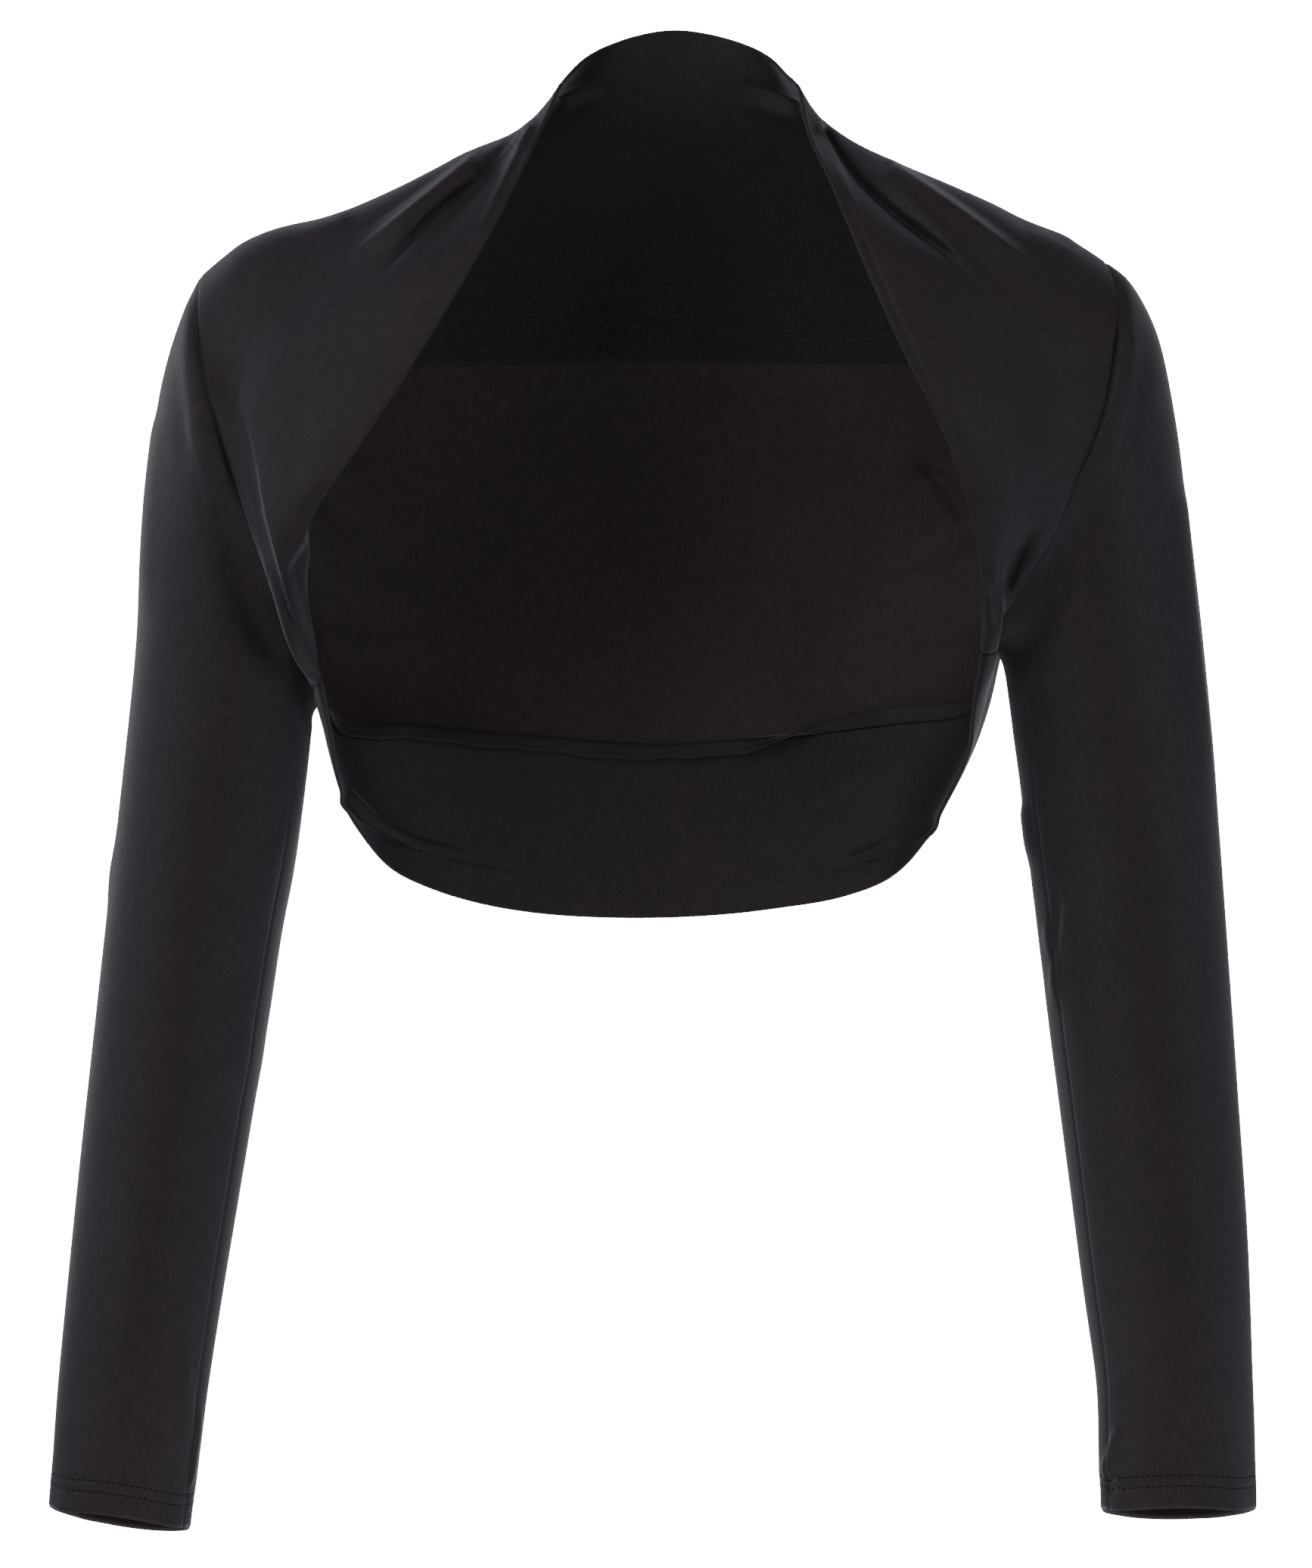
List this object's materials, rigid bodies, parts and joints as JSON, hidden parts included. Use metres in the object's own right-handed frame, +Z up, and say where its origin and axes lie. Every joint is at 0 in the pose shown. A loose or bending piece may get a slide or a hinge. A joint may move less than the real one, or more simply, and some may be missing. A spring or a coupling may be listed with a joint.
{
  "type": "knitted shrug",
  "caption": "Short open-front knitted shrug with long sleeves and a doubled band as stand collar and fronts, hollow as when worn.",
  "frame": {"origin": "middle of the shoulder line, level with the seams at the shoulder tips, where the wearer's shoulders hold the shrug up", "axes": "+Z up, -Y to the front, +X to the wearer's left"},
  "size_m": [0.556, 0.2024, 0.7073],
  "materials": {
    "jersey": "matte"
  },
  "bodies": {
    "root": {"back_panel": "jersey", "hem_band": "jersey", "sleeve_left": "jersey", "sleeve_right": "jersey", "upper_band": "jersey"}
  },
  "joints": []
}
